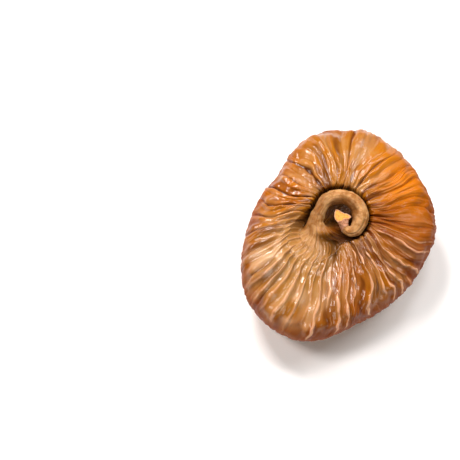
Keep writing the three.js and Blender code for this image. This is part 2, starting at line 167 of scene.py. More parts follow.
FOLD = SimpleNamespace(
    sink=0.5,  # how far the creases lie below the loft, as a share of the fold's depth
    flatness=3.5,  # the power that rounds off a pillow's edges
    ridge_half_width=0.34,  # as a share of half the fold
    ridge_depth=0.8,  # from a ridge to the valleys beside it, as a share of the fold's depth
    least_top=0.75,
    top_spread=0.5,  # how much the tops differ in height
    ridge_spread=0.2,  # how much more the ridges differ
    tilt=0.7,  # how much a pillow leans to one side
    ridge_sink=0.4,  # how much lower the ridges stand than the pillows
    second_ridge_sink=0.45,  # how much lower again every second ridge stands
    ridge_most=1.0,  # the level that the ridges' tops are worn down to
    flat_hollow=0.7,  # how much shallower the folds are in the hollow round the neck
    pale_half_width=0.3,  # of a ridge's pale top, as a share of half the fold
    pale_ridge=0.5,  # how much more a ridge counts as the top of a fold than its height says
)
# What is drawn by chance for each fold or crease.
DRAWN = SimpleNamespace(place=1, straying=2, depth=3, start=4, swing=5, top=6, tilt=7, bend=8, rise=9)
# How a ridge rises and falls along it: by how much, at what rate, how far the draw shifts it, and which draw.
RIDGE_RISES = ((0.32, 1.3, 7, DRAWN.top), (0.12, 3.7, 8, DRAWN.rise))
# How a ridge bends to either side along it, as above.
RIDGE_BENDS = ((0.13, 4.2, 9, DRAWN.tilt), (0.07, 9.5, 11, DRAWN.bend))

# Relief too fine for the CAD model. Furrows run along the folds: their cells round the fruit and per station,
# how narrow they are, and their depth. Bumps have a height, and cells as above or a size in millimetres.
FURROWS = (
    SimpleNamespace(across=110, along=0.45, narrow=4, depth=0.19, seed=1),
    SimpleNamespace(across=190, along=0.35, narrow=4, depth=0.11, seed=2),
)
NECK_FURROWS = SimpleNamespace(across=26, along=0.7, narrow=3, depth=0.12, seed=6)
KINKS = SimpleNamespace(across=70, along=2.4, height=0.07, off_ridges=0.4, seed=3)
CRUMPLE = SimpleNamespace(size=1.9, height=0.08, seed=4)
GRAIN = SimpleNamespace(size=0.7, height=0.04, seed=5)
NECK_BUMPS = SimpleNamespace(size=0.9, height=0.09, seed=7)
SMOOTHER_UNDER = 0.5

# Patches of colour on the skin: the direction of the middle of each and its spread, and then, for those that
# don't reach from the neck to the rim, the station and the reach along the loft. A glow is painted on the
# swollen side; shade is painted on the matt side, in the slit and in the pit of a crease.
SWOLLEN_GLOW_SIDE = (50, 30)
MATT_SHADED_SIDE = (15, 34)
WET_SIDES = ((298, 28), (165, 32))
SLIT = (282, 9, WALL_TOP, 1.4)
CREASE_PIT_SHADE = (318, 14, FACE - 0.8, 1.0)
# Pale sticky patches on the fan's shoulders, partly frosted sugar and partly painted highlights, as above,
# and how strong each is.
BLOOM_HIGHLIGHTS = (
    (229, 12, FACE + 1.0, 1.1, 1.0),
    (262, 7, FACE + 1.6, 0.9, 1.0),
    (274, 6, FACE + 1.6, 0.9, 0.9),
)
BLOOM_HIGHLIGHT_BREAKS = (0.35, 0.6)  # the noise below which a patch is broken, and above which it is whole
# Cells round the fruit and per station, and the seed, of what varies in colour along the folds.
BLOOM_HIGHLIGHT_CELLS = (64, 1.6, 10)
STREAK_CELLS = (84, 0.6, 8)
VEIN_CELLS = (120, 0.5, 9)
# Where the neck's own dry skin ends, and how much further out that is in the fan.
NECK_SKIN = SimpleNamespace(fades_from=ROOT - 0.5, fades_to=HOLLOW - 0.4, from_in_fan=1.0, to_in_fan=3.4)
# Painted shade on the neck's curl, dark round its middle, out to a radius, and on its left side, in
# millimetres.
CURL = SimpleNamespace(
    middle=(-0.6, 1.9),
    dark_within=2.5,
    light_beyond=3.7,
    dark_left_of=-5.0,
    light_right_of=-2.5,
    left_shade=0.6,  # as a share of the darkness round the middle
)

POINTS_PER_FOLD = 12
NEARBY = 0.02  # of the way between two stations, to measure how the loft changes
# Factors that have no meaning but to scatter the values of the draws and of the noise.
SCATTER_DRAWS = (12.9898, 78.233)
SCATTER_CELLS = (127.1, 311.7, 74.7)
SCATTER_SEEDS = 19.19
SCATTER = 43758.5453


def draw(index, kind):
    """A seeded value from 0 to 1 for each crease and kind of draw."""
    mixed = index * SCATTER_DRAWS[0] + kind * SCATTER_DRAWS[1]
    return np.modf(np.sin(mixed) * SCATTER)[0] % 1


def smooth(low, high, x):
    t = np.clip((x - low) / (high - low), 0, 1)
    return t * t * (3 - 2 * t)


def bell(x):
    return np.exp(-x * x)


def turns_apart(turn, degrees):
    return (np.degrees(turn) - degrees + 180) % 360 - 180


def zone(turn, middle, spread):
    return bell(turns_apart(turn, middle) / spread)


def face_zone(u):
    return smooth(WALL_TOP, FACE, u) * (1 - smooth(SHOULDER, RIM, u))


def fan_zone(turn):
    """The fan of the neck's root: 1 across its width, falling off towards both edges."""
    apart = turns_apart(turn, FAN.turn)
    spread = np.where(apart < 0, FAN.left_spread, FAN.right_spread)
    return np.exp(-(np.abs(apart / spread) ** FAN.edge_power))


def patch(turn, u, middle, spread, at, reach):
    """1 in the middle of a patch of the skin, falling off all round it."""
    return zone(turn, middle, spread) * bell((u - at) / reach)


def between(a, b, c, d, t):
    """Uniform Catmull-Rom through four values."""
    slope_in, slope_out = (c - a) / 2, (d - b) / 2
    cubic = 2 * b - 2 * c + slope_in + slope_out
    square = 3 * c - 3 * b - 2 * slope_in - slope_out
    return ((cubic * t + square) * t + slope_in) * t + b


def along_loft(u):
    """Centre, radius, follow, folds and fan of the loft at a place between two stations."""
    i = min(int(u), len(TABLE) - 2)
    rows = [TABLE[min(max(k, 0), len(TABLE) - 1)] for k in range(i - 1, i + 3)]
    return between(*rows, u - i)


def through(radii, turn):
    """The radius at a direction, from radii spaced evenly round."""
    count = len(radii)
    place = turn / (2 * math.pi) % 1 * count
    i = np.floor(place).astype(int)
    return between(*(np.array(radii)[(i + k) % count] for k in (-1, 0, 1, 2)), place - i)


def rim_shape(turn):
    return through(RIM_RADII, turn) / RIM_MEAN


def growth_at(u):
    """The way the fruit grew: up through the body, leaning over at the root, and then along the neck."""
    def along_neck(v):
        return Vector(along_loft(v - NEARBY)[:3] - along_loft(v + NEARBY)[:3]).normalized()

    if u <= ROOT:
        return along_neck(max(u, NEARBY))
    lean = Vector((0, 0, 1)).rotation_difference(along_neck(ROOT))
    share = (1 - min((u - ROOT) / (CREST - ROOT), 1)) ** LEAN_POWER
    return Quaternion().slerp(lean, share) @ Vector((0, 0, 1))


def ring_axes(places):
    """Each ring's own axes, carried from the body up the neck without twist."""
    axes = {}
    growth, across, beyond = Vector((0, 0, 1)), Vector((1, 0, 0)), Vector((0, 1, 0))
    for u in sorted(places, reverse=True):
        after = growth_at(u)
        turn = growth.rotation_difference(after)
        across, beyond, growth = turn @ across, turn @ beyond, after
        axes[u] = np.array([across, beyond, growth])
    return axes


def waves(kinds, turn, u):
    return sum(height * np.sin(count * turn + rate * u + start) for height, count, rate, start in kinds)


def ridge_waves(kinds, index, u):
    """Waves along one ridge, each shifted by a draw."""
    return sum(height * np.sin(rate * u + shift * draw(index, kind)) for height, rate, shift, kind in kinds)


def crease_strength(index, u):
    """Creases run from the neck to the eye. Every second one fades out on the inner face, except in the fan,
    and half of the rest on the neck. Few of the second ones cut the pillows."""
    direction = 2 * math.pi * index / FOLD_COUNT
    depth = CREASES.least + (1 - CREASES.least) * draw(index, DRAWN.depth)
    swinging = np.sin(CREASES.swing_rate * u + 2 * math.pi * draw(index, DRAWN.swing))
    depth = depth * (1 + CREASES.swing * swinging)
    pillows = zone(direction, PILLOWS.turn, PILLOWS.spread)
    start = CREASES.starts + CREASES.start_spread * draw(index, DRAWN.start)
    start = start - CREASES.in_fan * fan_zone(direction)
    second = smooth(start, start + CREASES.grows_over, u) * (1 - PILLOWS.uncut * pillows)
    second = second * (1 - smooth(CREASES.ends_from, CREASES.ends_to, u))
    late = PILLOWS.starts_later * pillows
    fourth = smooth(CREASES.neck_from + late, CREASES.neck_to + late, u)
    return depth * np.where(index % 2 == 1, second, np.where(index % 4 == 2, fourth, 1))


def crease_turn(index, u):
    i = index % FOLD_COUNT
    direction = 2 * math.pi * i / FOLD_COUNT
    uneven = (draw(i, DRAWN.place) - 0.5) * WANDER.uneven
    alone = WANDER.alone * np.sin(WANDER.own_rate * u + 2 * math.pi * draw(i, DRAWN.straying))
    straying = smooth(ROOT, CREST, u) * (1 - WANDER.straight_fan * fan_zone(direction))
    return (index + uneven + (waves(STRAYS, direction, u) + alone) * straying) / FOLD_COUNT


def turn_of(fold, u):
    """The direction of a fold on its ring. The folds of the fan take up more of the neck than the others."""
    i = np.floor(fold)
    low, high = crease_turn(i, u), crease_turn(i + 1, u)
    turn = 2 * math.pi * (low + (high - low) * (fold - i))
    gathered = NECK.twist + NECK.gather * np.cos(turn - math.radians(NECK.gather_turn))
    return turn + np.radians(gathered) * (1 - smooth(ROOT, NECK.turns_from, u))


def fold_height(fold, turn, u, depth):
    """The fold's height at one ring, how near the skin is to the fold's top, from 0 to 1, and where a ridge's
    pale top is. A fold is a pillow with a flat top, or a thin ridge between broad valleys."""
    i = np.floor(fold)
    place = fold - i
    on_face = face_zone(u)
    fan = fan_zone(turn) * smooth(ROOT, HOLLOW, u) * (1 - smooth(FAN.fades_from, FAN.fades_to, u))
    sharp = np.minimum(1, RIDGED.strength * zone(turn, RIDGED.turn, RIDGED.spread)) * on_face
    ridged = np.maximum(sharp, fan)
    middle = 0.5 + ridged * (1 - FAN.smoother * fan) * ridge_waves(RIDGE_BENDS, i, u)
    off_top = np.abs(place - middle) / np.where(place < middle, middle, 1 - middle)
    pillow = 1 - off_top**FOLD.flatness
    profile = (1 - ridged) * pillow + ridged * bell(off_top / FOLD.ridge_half_width)
    cut = [crease_strength((i + k) % FOLD_COUNT, u) for k in (0, 1)]
    valley = 1 - (cut[0] + (cut[1] - cut[0]) * place) * (1 - ridged) - FOLD.ridge_depth * ridged
    own_top = draw(i, DRAWN.top)
    sunk = FOLD.ridge_sink - FOLD.ridge_spread * own_top + FOLD.second_ridge_sink * (i % 2)
    rising = ridge_waves(RIDGE_RISES, i, u) - sunk
    own = FOLD.least_top + FOLD.top_spread * own_top * on_face + ridged * (1 - fan) * rising
    worn = own - ridged * np.maximum(0, own - FOLD.ridge_most)
    tilt = (1 - ridged) * on_face * FOLD.tilt * (draw(i, DRAWN.tilt) - 0.5) * (place - 0.5)
    level = valley * (1 - profile) + (worn + tilt) * profile
    calm = CALM.share * zone(turn, CALM.turn, CALM.spread) * on_face
    comes = np.clip(1 + waves(COMES_AND_GOES, turn, u) * on_face * (1 - fan), LEAST_DEPTH, MOST_DEPTH)
    in_hollow = smooth(ROOT - 1, ROOT + 1, u) * (1 - smooth(HOLLOW + 1, WALL_TOP, u))
    flattened = FOLD.flat_hollow * in_hollow * (1 - fan_zone(turn))
    share = comes * (1 - calm) * (1 - FAN.flatter * fan) * (1 - flattened)
    height = FOLD_DEPTH * depth * share * (level - FOLD.sink)
    top = np.clip(level + FOLD.pale_ridge * ridged, 0, 1)
    return height, top, ridged * bell(off_top / FOLD.pale_half_width) * np.clip(worn, 0, 1)


def swell_height(turn, u):
    broad = sum(height * patch(turn, u, *place) for *place, height in SWELLS)
    return broad + waves(ROLLING, turn, u) * face_zone(u)


def slant_at(u):
    """The outward and upward parts of the skin's normal, from the loft's mean profile."""
    outward = np.array([1.0, 0.0])
    if u <= ROOT:
        return outward
    rise, widening = (along_loft(u + NEARBY) - along_loft(u - NEARBY))[2:4]
    profile = np.array([-rise, widening])
    profile /= np.linalg.norm(profile)
    share = smooth(ROOT, CREST, u)
    mixed = (1 - share) * outward + share * profile
    return mixed / np.linalg.norm(mixed)


def corner_value(cell, seed):
    """A seeded value from -1 to 1 for each corner of the lattice."""
    mixed = cell @ np.array(SCATTER_CELLS)[: cell.shape[1]] + seed * SCATTER_SEEDS
    return 2 * (np.sin(mixed) * SCATTER % 1) - 1


def lattice_noise(cells, seed):
    """Smooth value noise from -1 to 1 at points given in cells."""
    low = np.floor(cells)
    share = cells - low
    share = share * share * (3 - 2 * share)
    total = np.zeros(len(cells))
    for corner in np.ndindex(*(2,) * cells.shape[1]):
        weight = np.prod(np.where(np.array(corner) == 1, share, 1 - share), axis=1)
        total += weight * corner_value(low + corner, seed)
    return total


def wrapped_noise(fold, u, across, along, seed):
    """Noise along the folds, which meets itself round the fruit: across in cells round it, along in cells a
    station."""
    angle = 2 * math.pi * fold / FOLD_COUNT
    reach = across / (2 * math.pi)
    return lattice_noise(np.column_stack([np.cos(angle) * reach, np.sin(angle) * reach, u * along]), seed)


def furrow_depth(kind, fold, u):
    """How deep thin furrows along the folds are."""
    noise = wrapped_noise(fold, u, kind.across, kind.along, kind.seed)
    return kind.depth * np.clip(1 - np.abs(noise) * kind.narrow, 0, 1)


def bump_height(kind, place):
    return kind.height * lattice_noise(place / kind.size, kind.seed)


def fine_height(fold, u, turn, place, ridge):
    """Wrinkles too fine for the CAD model."""
    neck = 1 - smooth(ROOT - 0.5, HOLLOW + 0.5, u)
    fan = fan_zone(turn) * (1 - smooth(FACE, FACE + 2, u))
    under = smooth(RIM, FOOT - 1, u)
    pillows = zone(turn, PILLOWS.turn, PILLOWS.spread)
    furrows = sum(furrow_depth(kind, fold, u) for kind in FURROWS) * (1 - PILLOWS.smoother * pillows)
    grain = bump_height(GRAIN, place)
    kinks = KINKS.height * wrapped_noise(fold, u, KINKS.across, KINKS.along, KINKS.seed)
    crumpled = bump_height(CRUMPLE, place) + grain + kinks * (KINKS.off_ridges + ridge)
    crumpled += waves(SHORT_WAVES, turn, u) * face_zone(u)
    crumpled *= (1 - SMOOTHER_UNDER * under) * (1 - FAN.smoother * fan)
    on_neck = bump_height(NECK_BUMPS, place) + grain - furrow_depth(NECK_FURROWS, fold, u)
    return (1 - neck) * (crumpled - furrows) + neck * on_neck


def ring_plan():
    """Places of the rings and the points on each, with fewer points where the fruit is slim."""
    full = FOLD_COUNT * POINTS_PER_FOLD
    spans = (
        (NECK_END, ROOT, 0.1, full // 4),
        (ROOT + 0.06, HOLLOW + 0.4, 0.08, full // 2),
        (HOLLOW + 0.5, RIM - 0.6, 0.1, full),
        (RIM - 0.5, FOOT - 0.5, 0.16, full // 2),
        (FOOT - 0.3, EYE_FLOOR, 0.1, full // 4),
    )
    plan = []
    for first, last, step, points in spans:
        rings = max(1, round((last - first) / step))
        plan += [(first + (last - first) * k / rings, points) for k in range(rings + 1)]
    return plan


def loft_faces(counts):
    """Faces between neighbouring rings, from the top of the loft down, and a cap over each end."""
    faces = []
    firsts = np.concatenate([[0], np.cumsum(counts)])

    def corner(ring, place):
        return firsts[ring] + place % counts[ring]

    for r in range(len(counts) - 1):
        slim, wide = (r, r + 1) if counts[r] <= counts[r + 1] else (r + 1, r)
        steps = counts[wide] // counts[slim]
        k = np.arange(counts[slim])
        made = [
            (corner(slim, k), corner(wide, steps * k), corner(wide, steps * k + 1)),
            (corner(slim, k), corner(wide, steps * k + 1), corner(slim, k + 1)),
        ]
        if steps == 2:
            made.append((corner(slim, k + 1), corner(wide, steps * k + 1), corner(wide, steps * k + 2)))
        for a, b, c in made:
            faces.append(np.column_stack([a, b, c] if slim == r else [a, c, b]))
    for ring, tip, flipped in ((0, firsts[-1], False), (len(counts) - 1, firsts[-1] + 1, True)):
        k = np.arange(counts[ring])
        edge = corner(ring, k), corner(ring, k + 1)
        faces.append(np.column_stack([np.full(len(k), tip), *(reversed(edge) if flipped else edge)]))
    return np.concatenate(faces)


def vertex_normals(points, faces):
    corners = points[faces]
    face_normals = np.cross(corners[:, 1] - corners[:, 0], corners[:, 2] - corners[:, 0])
    normals = np.zeros_like(points)
    for k in range(3):
        np.add.at(normals, faces[:, k], face_normals)
    return normals / np.maximum(np.linalg.norm(normals, axis=1, keepdims=True), 1e-12)


def bloom_highlight(turn, u, fold):
    """Pale sticky patches, partly frosted sugar and partly painted highlights, broken up along the folds."""
    patches = [strength * patch(turn, u, *place) for *place, strength in BLOOM_HIGHLIGHTS]
    broken = 0.5 + 0.5 * wrapped_noise(fold, u, *BLOOM_HIGHLIGHT_CELLS)
    return np.maximum.reduce(patches) * smooth(*BLOOM_HIGHLIGHT_BREAKS, broken)


def neck_shade(points, u):
    """Painted shade on the inner side of the curl, and darker painted shade on its left side."""
    x, y = points[:, 0] - CURL.middle[0], points[:, 1] - CURL.middle[1]
    inside = 1 - smooth(CURL.dark_within, CURL.light_beyond, np.hypot(x, y))
    left = CURL.left_shade * (1 - smooth(CURL.dark_left_of, CURL.light_right_of, x))
    return np.maximum(inside, left) * (1 - smooth(ROOT, HOLLOW + 1, u))


def mesh_piece(name, points, faces, marks):
    """A smooth-shaded object from points in millimetres, with one float mark for each vertex and name."""
    mesh = bpy.data.meshes.new(name)
    mesh.from_pydata((points * MM).tolist(), [], faces.tolist())
    mesh.shade_smooth()
    for mark, values in marks.items():
        mesh.attributes.new(mark, "FLOAT", "POINT").data.foreach_set("value", np.asarray(values, np.float32))
    piece = bpy.data.objects.new(name, mesh)
    bpy.context.collection.objects.link(piece)
    return piece


def skin_ring(u, count, axes):
    """The points of one ring, and what the marks need to know of each."""
    fold = np.arange(count) * FOLD_COUNT / count
    turn = turn_of(fold, u)
    x, y, z, radius, follow, folds, fan = along_loft(u)
    radii = radius * (1 + follow * (rim_shape(turn) - 1) + fan * fan_zone(turn))
    across, beyond, growth = axes
    outward = np.cos(turn)[:, None] * across + np.sin(turn)[:, None] * beyond
    out, up = slant_at(u)
    height, top, ridge = fold_height(fold, turn, u, folds)
    height = height + swell_height(turn, u)
    points = np.array([x, y, z]) + outward * radii[:, None] + (outward * out + growth * up) * height[:, None]
    return {"points": points, "fold": fold, "u": np.full(count, u), "turn": turn, "top": top, "ridge": ridge}


def skin_marks(skin):
    """Where on the skin each of its colours and finishes is, and where shade, a glow and highlights are
    painted, from 0 to 1.
    """
    u, turn, fold = skin["u"], skin["turn"], skin["fold"]
    fan = fan_zone(turn)
    neck_from = NECK_SKIN.fades_from + NECK_SKIN.from_in_fan * fan
    neck_to = NECK_SKIN.fades_to + NECK_SKIN.to_in_fan * fan
    hollow = smooth(ROOT + 0.6, HOLLOW + 0.4, u) * (1 - smooth(WALL_TOP - 0.5, CREST - 0.3, u))
    swollen_glow = smooth(CREST, FACE + 1, u) * (1 - smooth(RIM, RIM + 2, u))
    wet = np.maximum.reduce([zone(turn, *side) for side in WET_SIDES])
    return {
        "top": skin["top"],
        "ridge": skin["ridge"],
        "neck": 1 - smooth(neck_from, neck_to, u),
        "hollow": hollow * (1 - fan),
        "slit": patch(turn, u, *SLIT),
        "under": smooth(RIM - 0.5, FOOT - 1, u),
        "side": smooth(RIM - 3, RIM - 0.5, u),
        "fan": fan * smooth(ROOT, HOLLOW, u) * (1 - smooth(FACE, FAN.fades_to, u)),
        "eye": smooth(FOOT + 1, BRIM + 1, u),
        "shade": neck_shade(skin["points"], u),
        "swollen_glow": zone(turn, *SWOLLEN_GLOW_SIDE) * swollen_glow,
        "matt_shaded": zone(turn, *MATT_SHADED_SIDE),
        "bloom_highlight": bloom_highlight(turn, u, fold),
        "wet": wet * smooth(CREST, FACE, u) * (1 - fan),
        "crease_pit_shade": patch(turn, u, *CREASE_PIT_SHADE),
        "streak": 0.5 + 0.5 * wrapped_noise(fold, u, *STREAK_CELLS),
        "vein": 0.5 + 0.5 * wrapped_noise(fold, u, *VEIN_CELLS),
    }


def make_fruit():
    plan = ring_plan()
    axes = ring_axes([u for u, _ in plan])
    rings = [skin_ring(u, count, axes[u]) for u, count in plan]
    for end in (rings[0], rings[-1]):
        rings.append({key: values.mean(axis=0, keepdims=True) for key, values in end.items()})
    skin = {key: np.concatenate([ring[key] for ring in rings]) for key in rings[0]}
    faces = loft_faces([count for _, count in plan])
    normals = vertex_normals(skin["points"], faces)
    fine = fine_height(skin["fold"], skin["u"], skin["turn"], skin["points"], skin["ridge"])
    points = skin["points"] + normals * fine[:, None]
    points[:, 2] = np.maximum(points[:, 2], 0)  # its own weight has pressed the underside flat
    return mesh_piece("fig_fruit", points + np.array(AXIS), faces, skin_marks({**skin, "points": points}))


# The stub of the stalk: a short stem with an oblique cut, drawn out to one side. The cut's radii are 30
# degrees apart.
STUB = SimpleNamespace(
    base=np.array((1.0, -0.35, 14.95)),
    tip=np.array((-0.7, 1.35, 16.3)),
    radius=0.9,  # at its base
    cut_radii=(1.35, 1.55, 1.2, 0.95, 1.05, 2.1, 1.1, 0.75, 0.95, 1.3, 1.15, 1.15),
    flare=1.5,  # the power by which the base widens to the cut
    sunk=0.7,  # how far it reaches into the end of the neck
    cut_slope=0.95,  # how much shorter it is on its upper side, for each millimetre of its width
    pith=0.72,  # the pith's share of the width, inside the bark
    dish=0.25,  # how deep the pith has shrunk below the bark
    dish_edge=0.3,  # how much shallower the dish is at the pith's edge
    dish_power=4,
    bark_from=0.35,  # where the rings of the bark start, as a share of its width, and what they cover of it
    bark_over=0.6,
    cut_edge=0.02,  # how much lower each ring of the bark lies than the one outside it
    pith_fades=0.2,  # from each ring of the bark to the one outside it
    below_cut=0.985,  # where the side starts, as a share of the way from the base to the cut
    sides=96,
    pith_rings=8,
    bark_rings=3,
    side_rings=24,
)
STUB_BUMPS = (
    SimpleNamespace(size=0.45, height=0.07, seed=11),
    SimpleNamespace(size=0.18, height=0.04, seed=12),
)


def make_stalk():
    along = STUB.tip - STUB.base
    length = np.linalg.norm(along)
    along /= length
    sideways = np.cross((0, 0, 1), along)
    sideways /= np.linalg.norm(sideways)
    upward = np.cross(along, sideways)
    turn = 2 * math.pi * np.arange(STUB.sides) / STUB.sides
    cut = through(STUB.cut_radii, turn)
    rings = []

    def add_ring(share, size, sunk, pith):
        radii = size * (STUB.radius + (cut - STUB.radius) * max(share, 0) ** STUB.flare)
        height = radii * np.sin(turn)
        reach = share * (length - STUB.cut_slope * height) - sunk
        middle = STUB.base + np.outer(reach, along)
        points = middle + np.outer(radii * np.cos(turn), sideways) + np.outer(height, upward)
        rings.append((points, np.full(STUB.sides, pith)))

    for k in range(1, STUB.pith_rings + 1):
        part = k / STUB.pith_rings
        add_ring(1, STUB.pith * part, STUB.dish * (1 - STUB.dish_edge * part**STUB.dish_power), 1.0)
    for k in range(1, STUB.bark_rings + 1):
        out = STUB.bark_rings - k
        size = STUB.pith + (1 - STUB.pith) * (STUB.bark_from + STUB.bark_over * k / STUB.bark_rings)
        add_ring(1, size, STUB.cut_edge * (1 + out), STUB.pith_fades * out)
    add_ring(STUB.below_cut, 1, 0, 0.0)
    for k in range(1, STUB.side_rings + 1):
        share = 1 - k / STUB.side_rings
        add_ring(share * (1 + STUB.sunk / length) - STUB.sunk / length, 1, 0, 0.0)
    ends = [rings[0][0].mean(axis=0), rings[-1][0].mean(axis=0)]
    points = np.concatenate([ring for ring, _ in rings] + [ends])
    pith = np.concatenate([mark for _, mark in rings] + [[1.0, 0.0]])
    faces = loft_faces([STUB.sides] * len(rings))
    rough = sum(bump_height(kind, points) for kind in STUB_BUMPS)
    points = points + vertex_normals(points, faces) * rough[:, None]
    return mesh_piece("fig_stalk", points + np.array(AXIS), faces, {"pith": pith})


class Shader:
    """A small builder of one material's nodes."""

    def __init__(self, name):
        self.material = bpy.data.materials.new(name)
        self.material.use_nodes = True
        self.tree = self.material.node_tree
        self.surface = self.tree.nodes["Principled BSDF"]

    def add(self, kind, inputs=None, **settings):
        node = self.tree.nodes.new(kind)
        for key, value in settings.items():
            setattr(node, key, value)
        for key, value in (inputs or {}).items():
            self.put(node, key, value)
        return node

    def put(self, node, key, value):
        if isinstance(value, bpy.types.NodeSocket):
            self.tree.links.new(value, node.inputs[key])
        else:
            node.inputs[key].default_value = value

    def mark(self, name):
        return self.add("ShaderNodeAttribute", attribute_name=name).outputs["Fac"]

    def noise(self, scale, detail=4.0, roughness=0.6):
        inputs = {
            "Vector": self.add("ShaderNodeTexCoord").outputs["Object"],
            "Scale": scale,
            "Detail": detail,
            "Roughness": roughness,
        }
        return self.add("ShaderNodeTexNoise", inputs).outputs["Fac"]

    def ramp(self, value, low, high, end=1.0):
        """A smooth rise from 0, where the value is low, to the end value, where it is high."""
        inputs = {"Value": value, "From Min": low, "From Max": high, "To Max": end}
        return self.add("ShaderNodeMapRange", inputs, interpolation_type="SMOOTHSTEP").outputs["Result"]

    def math(self, operation, a, b):
        return self.add("ShaderNodeMath", {0: a, 1: b}, operation=operation).outputs[0]

    def less(self, value, mark, share):
        """A value lowered by a share of itself where a mark is set."""
        return self.math("MULTIPLY", value, self.math("SUBTRACT", 1.0, self.math("MULTIPLY", mark, share)))

    def mix(self, share, a, b):
        node = self.add("ShaderNodeMix", data_type="RGBA")
        for socket, value in ((0, share), (6, a), (7, b)):
            self.put(node, socket, value)
        return node.outputs[2]

    def paint(self, base, mark, paint, share):
        """A colour over another where a mark is set, covering it by a share."""
        return self.mix(self.math("MULTIPLY", mark, share), base, paint)

    def bump(self, height, strength, distance, normal=None):
        inputs = {"Height": height, "Strength": strength, "Distance": distance}
        if normal is not None:
            inputs["Normal"] = normal
        return self.add("ShaderNodeBump", inputs).outputs["Normal"]

    def finish(self, **inputs):
        for key, value in inputs.items():
            self.put(self.surface, key.replace("_", " "), value)
        return self.material


def colour(red, green, blue):
    """A colour as seen, from 0 to 255, in the linear values that shaders take."""
    seen = (red / 255, green / 255, blue / 255)
    linear = [c / 12.92 if c <= 0.04045 else ((c + 0.055) / 1.055) ** 2.4 for c in seen]
    return (*linear, 1.0)


AMBER = colour(162, 98, 0)
WET = colour(180, 98, 0)
DARK_BROWN_AND_SHADE = colour(88, 38, 0)
PAINTED_GLOW = colour(218, 124, 0)
TAN = colour(178, 130, 76)
PINK = colour(220, 166, 128)
BLOOM_HIGHLIGHT = colour(228, 188, 148)
SIDE_SHADE = colour(124, 52, 0)
UNDERSIDE = colour(180, 120, 44)
PAINTED_HOLLOW_SHADE = colour(48, 20, 4)
FAN_TOP = colour(166, 122, 64)
FAN_FURROW_SHADE = colour(112, 66, 14)
NECK_LIGHT = colour(200, 154, 104)
NECK_DARK = colour(150, 100, 52)
NECK_SHADE = colour(92, 50, 14)
PITH = colour(222, 154, 60)
FIBRE = colour(150, 92, 44)
BARK = colour(206, 150, 118)
FLOOR = colour(252, 252, 252)


